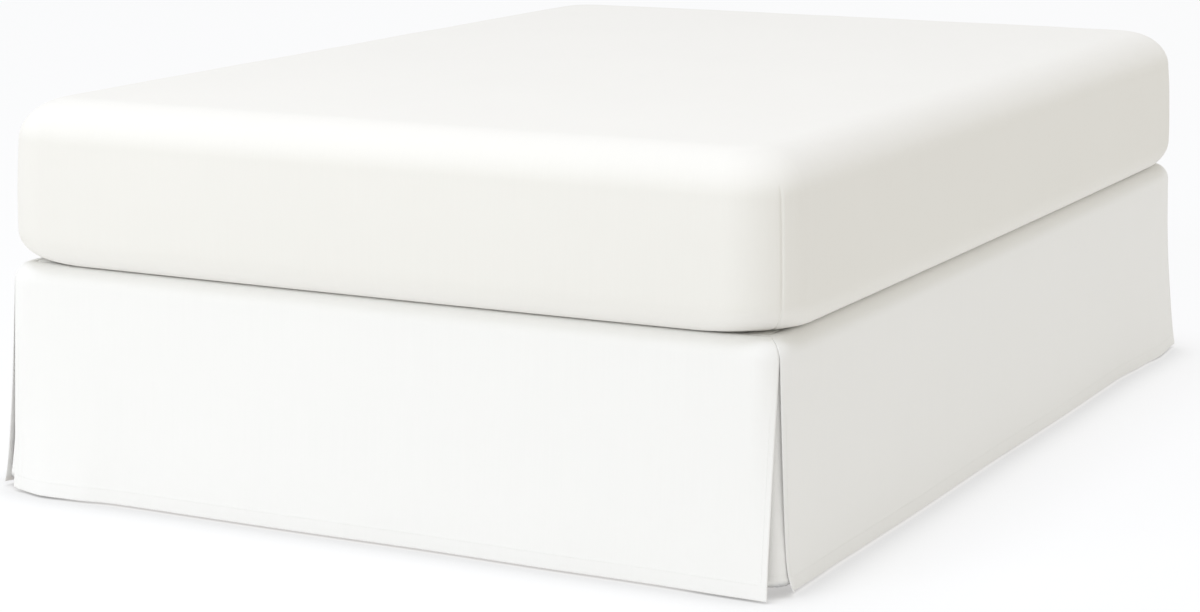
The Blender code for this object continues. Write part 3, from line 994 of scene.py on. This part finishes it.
@dataclass
class PleatPanels:
    """The pleat panel behind each split corner, wrapped round the box spring's corner."""

    sizes: CoverSizes
    standoff: float = 0.0022
    roll: float = 0.034
    roll_end: float = 55.0
    reach: float = 0.09
    hem_height: float = 0.0185
    flare: float = 0.0085
    corner_flare: float = 0.013
    hem_fold: float = 0.020
    hem_edge: float = 0.002
    fold_thickness: float = 0.0003
    stitch_in: float = 0.003
    stitch_proud: float = 0.0003
    stitch_skip: int = 3
    crease_pitch: float = 0.016
    crease_depth: float = 0.00025
    crease_start: float = 0.35
    crease_edge: float = 0.02
    crease_wander: float = 1.5
    crease_turns: float = 70.0
    hem_calm: float = 0.8
    hem_calm_from: float = 0.80
    hem_calm_to: float = 0.95
    corner_steps: int = 56
    arm_steps: int = 40
    roll_steps: int = 8
    hang_steps: int = 30
    last_hang: float = 0.998

    @property
    def roll_start(self) -> float:
        """Height at which the panel starts to turn over the edge."""
        return self.sizes.cloth_top - self.roll

    def rows(self) -> list[Row]:
        """Rows down the cloth.

        Returns:
            Inset, height, hang and distance down the flat cloth.
        """
        start = self.roll_start
        rows = [(inset, start + rise, 0.0)
                for inset, rise in reversed(quarter_roll(self.roll, self.roll, self.roll_steps, self.roll_end))]
        marks = sorted({step / self.hang_steps for step in range(1, self.hang_steps + 1)} | {self.last_hang})
        return with_travel(rows + [(0.0, start + (self.hem_height - start) * hang, hang) for hang in marks])

    def line(self, inset: float, height: float, hang: float) -> list[tuple[Vector, float]]:
        """One row of the panel about the corner's centre.

        Args:
            inset: How far the roll brings the cloth in.
            height: Height above the floor.
            hang: Share of the hanging part, 1 at the hem.

        Returns:
            Points for the front right corner, and their distance along the cloth.
        """
        share = self.sizes.lean_share(hang)
        radius = self.sizes.box_corner + self.standoff + self.sizes.cloth / 2 - inset + self.flare * share
        arc = radius * math.pi / 2
        spots = [-self.reach * (1.0 - step / self.arm_steps) for step in range(self.arm_steps)]
        spots += [arc * step / self.corner_steps for step in range(self.corner_steps + 1)]
        spots += [arc + self.reach * step / self.arm_steps for step in range(1, self.arm_steps + 1)]
        line = []
        for spot in spots:
            angle = min(max(spot / radius, 0.0), math.pi / 2)
            calm = ramp(0.0, self.crease_start, hang)
            calm *= ramp(0.0, self.crease_edge, self.reach + min(spot, arc - spot))
            calm *= 1.0 - self.hem_calm * ramp(self.hem_calm_from, self.hem_calm_to, hang)
            wander = self.crease_wander * math.sin(spot * self.crease_turns)
            crease = self.crease_depth * calm * math.sin(2.0 * math.pi * spot / self.crease_pitch + wander)
            out = radius + self.corner_flare * share * math.sin(2.0 * angle) ** 2 + crease
            x = spot if spot < 0 else out * math.sin(angle)
            y = arc - spot if spot > arc else out * math.cos(angle)
            line.append((Vector((x, y, height)), spot))
        return line

    def place(self, corner: Corner, x: float, y: float, height: float) -> Vector:
        """Bring a point about the corner's centre to one corner of the bed.

        Args:
            corner: The corner of the bed.
            x: How far it lies outwards across the bed.
            y: How far it lies outwards along the bed.
            height: Height above the floor.

        Returns:
            The point.
        """
        _, sign_x, sign_y = corner.value
        centre_x = self.sizes.box_width / 2 - self.sizes.box_corner
        centre_y = self.sizes.box_length / 2 - self.sizes.box_corner
        return Vector((sign_x * (centre_x + x), sign_y * (centre_y + y), height))

    def build(self, corner: Corner, cloth: bpy.types.Material) -> bpy.types.Object:
        """Make one pleat panel.

        Args:
            corner: The corner of the bed.
            cloth: The cover's cloth.

        Returns:
            The piece, which stands for its solid.
        """
        label, sign_x, sign_y = corner.value
        rows = self.rows()
        points, lay, thickness = [], [], []
        for inset, height, hang, travel in rows:
            line = self.line(inset, height, hang)
            if sign_x * sign_y > 0:
                line.reverse()
            points.append([self.place(corner, *spot) for spot, _ in line])
            lay.append([(spot + self.reach, travel) for _, spot in line])
            fold_top = self.hem_height + self.hem_fold
            hem = ramp(fold_top + self.hem_edge, fold_top, height)
            thickness.append([self.sizes.cloth + self.fold_thickness * hem] * len(line))
        width = 2 * self.reach + (self.sizes.box_corner + self.standoff + self.flare) * math.pi / 2
        grid = ClothGrid(points, lay, thickness, [1.0] * len(rows))
        return grid.sew(f"pleat_{label}", f"insert_{label}", cloth, (width, rows[-1][3]), "hung")

    def seam_line(self, corner: Corner) -> list[Vector]:
        """The hem's stitch line of one pleat panel, just proud of its outer face.

        Args:
            corner: The corner of the bed.

        Returns:
            Points along the line.
        """
        height = self.hem_height + self.hem_fold - self.stitch_in
        hang = (self.roll_start - height) / (self.roll_start - self.hem_height)
        proud = self.sizes.cloth / 2 + self.stitch_proud
        line = []
        for spot, _ in self.line(0.0, height, hang)[self.stitch_skip:-self.stitch_skip]:
            out = Vector((max(spot.x, 0.0), max(spot.y, 0.0), 0.0)).normalized() * proud
            line.append(self.place(corner, spot.x + out.x, spot.y + out.y, height))
        return line


@dataclass
class DeckCloth:
    """The platform cloth that lies between box spring and mattress."""

    sizes: CoverSizes
    steps_across: int = 40
    steps_along: int = 56
    corner_steps: int = 6

    def build(self, cloth: bpy.types.Material) -> bpy.types.Object:
        """Make the deck.

        Args:
            cloth: The cover's cloth.

        Returns:
            The piece, which stands for its solid.
        """
        inset = self.sizes.seam_inset + self.sizes.seam_gap
        half_x, half_y = self.sizes.half_width - inset, self.sizes.half_length - inset
        radius = self.sizes.corner - inset
        flat_y = half_y - radius
        turns = [radius * math.sin(math.pi / 2 * step / self.corner_steps) for step in range(self.corner_steps)]
        middle = [flat_y * (1.0 - 2.0 * step / self.steps_along) for step in range(1, self.steps_along)]
        levels = [flat_y + turn for turn in reversed(turns)] + middle + [-flat_y - turn for turn in turns]
        points, lay = [], []
        for y in levels:
            over = max(abs(y) - flat_y, 0.0)
            reach = half_x - radius + math.sqrt(max(radius * radius - over * over, 0.0))
            row = [reach * (2.0 * step / self.steps_across - 1.0) for step in range(self.steps_across + 1)]
            points.append([Vector((x, y, self.sizes.cloth_top)) for x in row])
            lay.append([(x + half_x, half_y - y) for x in row])
        thickness = [[self.sizes.cloth] * (self.steps_across + 1) for _ in levels]
        grid = ClothGrid(points, lay, thickness, [1.0] * len(levels))
        return grid.sew("deck_cloth", "deck", cloth, (2 * half_x, 2 * half_y), "laid")


@dataclass
class Mattress:
    """The mattress: rolled lower edge, soft shoulder and crown, and a seam down each corner."""

    width: float = 1.418
    length: float = 2.010
    corner: float = 0.10
    least_radius: float = 0.006
    bottom: float = 0.3831
    height: float = 0.2705
    foot_inset: float = 0.050
    foot_height: float = 0.001
    lower_in: float = 0.036
    lower_up: float = 0.050
    lower_draw: float = 2.2
    lower_steps: int = 14
    shoulder_in: float = 0.086
    shoulder_up: float = 0.070
    shoulder_draw: float = 0.25
    shoulder_steps: int = 22
    taper: float = 0.006
    taper_steps: int = 16
    crown: float = 0.005
    crown_reach: float = 0.60
    crown_ease: float = 1.15
    crown_steps: int = 16
    barrel: float = 0.003
    seam_angle: float = 52.0
    seam_depth: float = 0.0013
    seam_width: float = 0.0016
    seam_top: float = 0.60
    seam_fade_below: float = 0.015
    seam_fade_above: float = 0.012
    side_inset: float = 0.03
    rolled_seam: float = 0.6
    seam_clear: float = 4.5
    seam_steps: Row = (-3.4, -2.2, -1.3, -0.7, -0.3, 0.0, 0.3, 0.7, 1.3, 2.2, 3.4)
    puff: float = 0.0006
    puff_place: float = 0.006
    puff_width: float = 0.004
    lumps: float = 0.0009
    lump_size: float = 0.19
    small_lumps: float = 0.4
    small_lump_size: float = 0.07
    small_lump_scale: float = 1.3
    still_height: float = 0.002
    soft_height: float = 0.06
    top_lay_from: float = 0.6
    side_steps_x: int = 56
    side_steps_y: int = 80
    corner_steps: int = 30

    def seam_turn(self, mirrored: bool) -> float:
        """The seam's angle at a corner, which is mirrored where a long side leads to an end."""
        return 90.0 - self.seam_angle if mirrored else self.seam_angle

    def corner_angles(self, seam: float) -> list[float]:
        """Angles round one corner, from 0 to 90 degrees, closer together at its seam."""
        even = [90.0 * step / self.corner_steps for step in range(self.corner_steps + 1)]
        return sorted([a for a in even if abs(a - seam) > self.seam_clear] + [seam + near for near in self.seam_steps])

    def ring(self, inset: float, draw: float) -> list[Row]:
        """Points round the mattress at an inset, each with its distance from the corner's seam.

        Args:
            inset: How far in from the widest outline.
            draw: Added to the plan corner radius.

        Returns:
            Rows of x, y and distance from the seam in metres.
        """
        radius = max(self.corner - inset, self.least_radius) + draw
        flat_x = self.width / 2 - inset - radius
        flat_y = self.length / 2 - inset - radius
        points = []
        for sign_x, sign_y, start in ((1, -1, -90), (1, 1, 0), (-1, 1, 90), (-1, -1, 180)):
            mirrored = sign_x * sign_y > 0
            half_side, steps = (flat_x, self.side_steps_x) if mirrored else (flat_y, self.side_steps_y)
            seam = self.seam_turn(mirrored)
            for turn in self.corner_angles(seam):
                angle = math.radians(start + turn)
                x, y = sign_x * flat_x + radius * math.cos(angle), sign_y * flat_y + radius * math.sin(angle)
                points.append((x, y, math.radians(turn - seam) * self.corner))
            outward = Vector((math.cos(angle), math.sin(angle)))
            onward = Vector((-outward.y, outward.x))
            corner = Vector(points[-1][:2])
            for step in range(1, steps):
                share = step / steps
                bow = self.barrel * 4.0 * share * (1.0 - share)
                spot = corner + onward * (2.0 * half_side * share) + outward * bow
                points.append((spot.x, spot.y, 1.0))
        return points

    def profile(self) -> list[Row]:
        """Rows up the mattress.

        Returns:
            Inset, height, corner draw and distance up the cloth.
        """
        top = self.bottom + self.height
        roll_bottom = self.bottom + self.foot_height
        roll_top = roll_bottom + self.lower_up
        foot_draw = self.lower_draw * self.lower_in
        rows = [(self.foot_inset, self.bottom, foot_draw), (self.foot_inset, roll_bottom, foot_draw)]
        rows += [(inset, roll_top - rise, self.lower_draw * inset)
                 for inset, rise in reversed(quarter_roll(self.lower_in, self.lower_up, self.lower_steps))]
        shoulder_start = top - self.shoulder_up
        for step in range(1, self.taper_steps):
            height = roll_top + (shoulder_start - roll_top) * step / self.taper_steps
            rows.append((self.taper * (step / self.taper_steps) ** 2, height, 0.0))
        rows += [(self.taper + inset, shoulder_start + rise, self.shoulder_draw * inset)
                 for inset, rise in quarter_roll(self.shoulder_in, self.shoulder_up, self.shoulder_steps)]
        edge = self.taper + self.shoulder_in
        for step in range(1, self.crown_steps + 1):
            inset = edge + (self.crown_reach - edge) * (step / self.crown_steps) ** self.crown_ease
            share = min((inset - edge) / (self.width / 2 - edge), 1.0)
            rise = self.crown * math.sin(share * math.pi / 2)
            rows.append((inset, top + rise, self.shoulder_draw * self.shoulder_in))
        return with_travel(rows)

    def build(self, finish: bpy.types.Material) -> bpy.types.Object:
        """Make the mattress.

        Args:
            finish: The mattress cloth.

        Returns:
            The piece, which stands for its solid.
        """
        work = bmesh.new()
        layer = work.loops.layers.uv.new(CLOTH_LAY)
        rows = self.profile()
        rings = [self.ring(inset, draw) for inset, _, draw, _ in rows]
        loops = [[work.verts.new((x, y, row[1])) for x, y, _ in ring] for row, ring in zip(rows, rings)]
        count = len(loops[0])
        travel = [0.0]
        reference = rings[len(rings) // 3]
        for a, b in zip(reference, reference[1:] + reference[:1]):
            travel.append(travel[-1] + math.hypot(b[0] - a[0], b[1] - a[1]))
        for level, (lower, upper) in enumerate(zip(loops, loops[1:])):
            low, high = rows[level][3], rows[level + 1][3]
            on_top = rows[level][0] > self.taper + self.top_lay_from * self.shoulder_in
            for index in range(count):
                onward = (index + 1) % count
                face = work.faces.new((lower[index], lower[onward], upper[onward], upper[index]))
                start, end = travel[index], travel[index + 1]
                for corner, place in zip(face.loops, ((start, low), (end, low), (end, high), (start, high))):
                    corner[layer].uv = corner.vert.co.xy if on_top else place
        for ring in (list(reversed(loops[0])), loops[-1]):
            for corner in work.faces.new(ring).loops:
                corner[layer].uv = corner.vert.co.xy
        work.normal_update()
        self.soften(loops, rings, rows)
        mesh = bpy.data.meshes.new("mattress_dressed")
        work.to_mesh(mesh)
        work.free()
        piece = place_object("mattress_dressed", mesh, finish)
        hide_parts("mattress")
        LOG.info("%s: %d faces", piece.name, len(mesh.polygons))
        return piece

    def soften(self, loops: list[list[bmesh.types.BMVert]], rings: list[list[Row]], rows: list[Row]) -> None:
        """Press the corner seams in and give the cover its faint unevenness.

        Args:
            loops: Vertices, ring by ring.
            rings: The rings' rows, with each point's distance from a seam.
            rows: The profile's rows.
        """
        moves = []
        for (inset, height, _, _), loop, ring in zip(rows, loops, rings):
            free = ramp(self.bottom + self.still_height, self.bottom + self.soft_height, height)
            seam_share = 1.0 - ramp(self.seam_top - self.seam_fade_below, self.seam_top + self.seam_fade_above, height)
            for vert, (_, _, away) in zip(loop, ring):
                groove = self.seam_depth * math.exp(-(away / self.seam_width) ** 2)
                puff = self.puff * math.exp(-((abs(away) - self.puff_place) / self.puff_width) ** 2)
                small = soft_noise(vert.co * self.small_lump_scale, self.small_lump_size)
                lump = self.lumps * soft_noise(vert.co, self.lump_size) + self.small_lumps * self.lumps * small
                pressed = seam_share * groove * (1.0 if inset < self.side_inset else self.rolled_seam)
                moves.append((vert, vert.normal * (free * (lump + seam_share * puff) - pressed)))
        for vert, move in moves:
            vert.co += move


@dataclass
class HiddenBed:
    """The box spring and its base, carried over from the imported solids."""

    nodes: dict[str, bpy.types.Object]

    def dress(self, ticking: bpy.types.Material, timber: bpy.types.Material) -> None:
        """Give each carried-over node its finish.

        Args:
            ticking: For the box spring.
            timber: For the platform and the legs.
        """
        for name, node in self.nodes.items():
            if name == "box_spring" or name.startswith("bed_"):
                finish = ticking if name == "box_spring" else timber
                node.data.materials.clear()
                node.data.materials.append(finish)
                LOG.info("%s: keeps its solid, finish %s", name, finish.name)


@dataclass(frozen=True)
class Softbox:
    """A large rectangular lamp that the camera doesn't see."""

    name: str
    energy: float
    colour: tuple[float, float, float]
    place: tuple[float, float, float]
    target: tuple[float, float, float]
    size: tuple[float, float]

    def build(self) -> None:
        """Hang the lamp and aim it."""
        lamp = bpy.data.lights.new(self.name, "AREA")
        lamp.shape = "RECTANGLE"
        lamp.size, lamp.size_y = self.size
        lamp.energy = self.energy
        lamp.color = self.colour
        item = bpy.data.objects.new(self.name, lamp)
        item.location = self.place
        aim = Vector(self.target) - Vector(self.place)
        item.rotation_euler = aim.to_track_quat("-Z", "Y").to_euler()
        item.visible_camera = False
        bpy.context.scene.collection.objects.link(item)


KEY = Softbox("key", 142.0, (0.90, 0.95, 1.0), (-2.0, -6.2, 3.3), (0.0, -1.0, 0.35), (3.6, 1.8))
SIDE_FILL = Softbox("side_fill", 18.0, (1.0, 0.95, 0.82), (6.2, 0.3, 1.7), (0.7, 0.0, 0.35), (3.6, 1.8))


@dataclass
class Studio:
    """A plain pale floor, soft light and the camera."""

    floor_half: float = 60.0
    sky: Colour = (1.0, 0.98, 0.89, 1.0)
    sky_strength: float = 0.60
    backdrop: Colour = (0.965, 0.97, 0.985, 1.0)
    top_energy: float = 1.64
    top_colour: tuple[float, float, float] = (0.81, 0.85, 1.0)
    top_spread: float = 40.0
    top_lean: float = 5.0
    lens: float = 86.737
    eye: tuple[float, float, float] = (2.320, -4.7231, 1.2492)
    tilt_down: float = 11.315
    heading: float = 27.154

    def build_floor(self, finish: bpy.types.Material) -> bpy.types.Object:
        """Lay the studio floor under the object.

        Args:
            finish: The floor's material.

        Returns:
            The floor, which is part of the set.
        """
        half = self.floor_half
        mesh = bpy.data.meshes.new("floor")
        mesh.from_pydata([(-half, -half, 0), (half, -half, 0), (half, half, 0), (-half, half, 0)], [], [(0, 1, 2, 3)])
        mesh.materials.append(finish)
        floor = bpy.data.objects.new("floor", mesh)
        bpy.context.scene.collection.objects.link(floor)
        return floor

    def build_light(self) -> None:
        """Light the set: an even pale surround, soft light from above, and a softbox for each near side."""
        scene = bpy.context.scene
        world = bpy.data.worlds.new("surround")
        world.use_nodes = True
        bench = NodeBench(world.node_tree)
        background = world.node_tree.nodes["Background"]
        bench.feed(background.inputs["Color"], self.sky)
        bench.feed(background.inputs["Strength"], self.sky_strength)
        wall = bench.add("ShaderNodeBackground", {0: self.backdrop})
        seen = bench.add("ShaderNodeLightPath").outputs["Is Camera Ray"]
        mix = bench.add("ShaderNodeMixShader", {0: seen, 1: background.outputs[0], 2: wall.outputs[0]})
        bench.feed(world.node_tree.nodes["World Output"].inputs["Surface"], mix.outputs[0])
        scene.world = world
        for lamp in (KEY, SIDE_FILL):
            lamp.build()
        overhead = bpy.data.lights.new("overhead", "SUN")
        overhead.energy = self.top_energy
        overhead.color = self.top_colour
        overhead.angle = math.radians(self.top_spread)
        item = bpy.data.objects.new("overhead", overhead)
        item.rotation_euler = (0.0, -math.radians(self.top_lean), 0.0)
        scene.collection.objects.link(item)

    def build_camera(self) -> None:
        """Place the camera at the photograph's viewing angle."""
        data = bpy.data.cameras.new("camera")
        data.sensor_fit = "HORIZONTAL"
        data.sensor_width = 36.0
        data.lens = self.lens
        data.clip_end = 200.0
        item = bpy.data.objects.new("camera", data)
        item.location = self.eye
        item.rotation_euler = (math.radians(90.0 - self.tilt_down), 0.0, math.radians(self.heading))
        bpy.context.scene.collection.objects.link(item)
        bpy.context.scene.camera = item

    def set_colours(self) -> None:
        """Use the plain display transform, so that the white cloth stays white."""
        view = bpy.context.scene.view_settings
        view.view_transform = "Standard"
        view.look = "None"
        view.exposure = 0.0
        view.gamma = 1.0


def build_cover(sizes: CoverSizes) -> None:
    """Build the cover's deck, drops, pleat panels and stitches.

    Args:
        sizes: The sizes that the pieces share.
    """
    cloth = COVER_CLOTH.build()
    drops, pleats = DropPanels(sizes), PleatPanels(sizes)
    DeckCloth(sizes).build(cloth)
    for side in Side:
        drops.build(side, cloth)
    for corner in Corner:
        pleats.build(corner, cloth)
    lines = [line for side in Side for line in drops.seam_lines(side)]
    lines += [pleats.seam_line(corner) for corner in Corner]
    stitches = StitchTree().sew("skirt_stitches", lines, ThreadFinish().build())
    LOG.info("%s: %d faces", stitches.name, len(stitches.data.polygons))


def main() -> None:
    """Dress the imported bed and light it."""
    logging.basicConfig(level=logging.INFO, format="%(name)s %(message)s")
    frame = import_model()
    studio = Studio()
    studio.set_colours()
    studio.build_camera()
    studio.build_light()
    studio.build_floor(FloorFinish().build())
    build_cover(CoverSizes())
    Mattress().build(MATTRESS_CLOTH.build())
    HiddenBed(frame["nodes"]).dress(TICKING.build(), BEECH.build())


if __name__ == "__main__":
    main()
